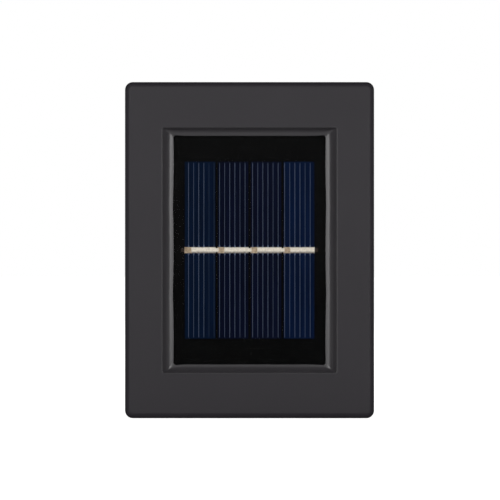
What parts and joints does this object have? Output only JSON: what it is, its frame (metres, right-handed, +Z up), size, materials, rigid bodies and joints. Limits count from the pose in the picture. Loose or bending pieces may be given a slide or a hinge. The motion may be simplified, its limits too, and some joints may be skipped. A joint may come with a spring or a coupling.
{
  "type": "fence light",
  "caption": "Box-shaped solar light hung flat on a fence, with a bevelled solar window in its front and clear light windows in its top and bottom.",
  "frame": {"origin": "middle of the back face, which lies against the fence", "axes": "+X to the right as the front is seen, +Y into the fence, +Z up; the solar panel faces -Y"},
  "size_m": [0.083, 0.045, 0.112],
  "materials": {
    "charcoal_abs": "fine grained matte",
    "black_abs": "satin",
    "clear_polycarbonate": "polished",
    "clear_resin": "polished",
    "white_abs": "gloss white",
    "solar_silicon": "dark blue, printed fingers",
    "tinned_copper": "tinned",
    "black_laminate": "solder mask",
    "green_laminate": "solder mask",
    "white_laminate": "white solder mask",
    "closed_foam": "foam",
    "silicone_grey": "moulded silicone",
    "silicone_black": "moulded silicone",
    "lead_insulation": "PVC",
    "zinc_steel": "zinc plated",
    "nickel_steel": "nickel plated",
    "battery_sleeve": "shrink sleeve",
    "chip_epoxy": "moulded epoxy",
    "ferrite": "ferrite",
    "led_package": "moulded white with yellow phosphor"
  },
  "bodies": {
    "light_body": {"back_cover": "charcoal_abs", "battery_cell": "battery_sleeve", "battery_holder": "black_abs", "battery_leads": "lead_insulation", "battery_plate": "nickel_steel", "battery_spring": "nickel_steel", "board_capacitor": "nickel_steel", "board_resistors": "chip_epoxy", "board_screws": "zinc_steel", "boot_retainer": "black_abs", "bottom_led_board": "white_laminate", "bottom_led_leads": "lead_insulation", "bottom_leds": "led_package", "bottom_lens": "clear_polycarbonate", "bottom_reflector": "white_abs", "button_boot": "silicone_black", "cell_ribbons": "tinned_copper", "controller_chip": "chip_epoxy", "cover_gasket": "silicone_grey", "cover_screws": "zinc_steel", "front_housing": "charcoal_abs", "holder_tape": "closed_foam", "led_resistors": "chip_epoxy", "main_board": "green_laminate", "panel_board": "black_laminate", "panel_encapsulant": "clear_resin", "panel_leads": "lead_insulation", "panel_seal": "closed_foam", "solar_cell_1": "solar_silicon", "solar_cell_2": "solar_silicon", "solar_cell_3": "solar_silicon", "solar_cell_4": "solar_silicon", "storage_inductor": "ferrite", "switch_body": "black_abs", "switch_pins": "nickel_steel", "switch_spring": "nickel_steel", "top_led_board": "white_laminate", "top_led_leads": "lead_insulation", "top_leds": "led_package", "top_lens": "clear_polycarbonate", "top_reflector": "white_abs"},
    "power_button": {"button_cap": "black_abs", "switch_plunger": "white_abs"}
  },
  "joints": [
    {"name": "button_press", "type": "slide", "parent": "light_body", "child": "power_button", "axis": [0, -1, 0], "range_m": [0, 0.0015], "stiffness_N_per_m": 900, "springref_m": -0.0006, "deforming": ["button_boot", "switch_spring"]}
  ]
}
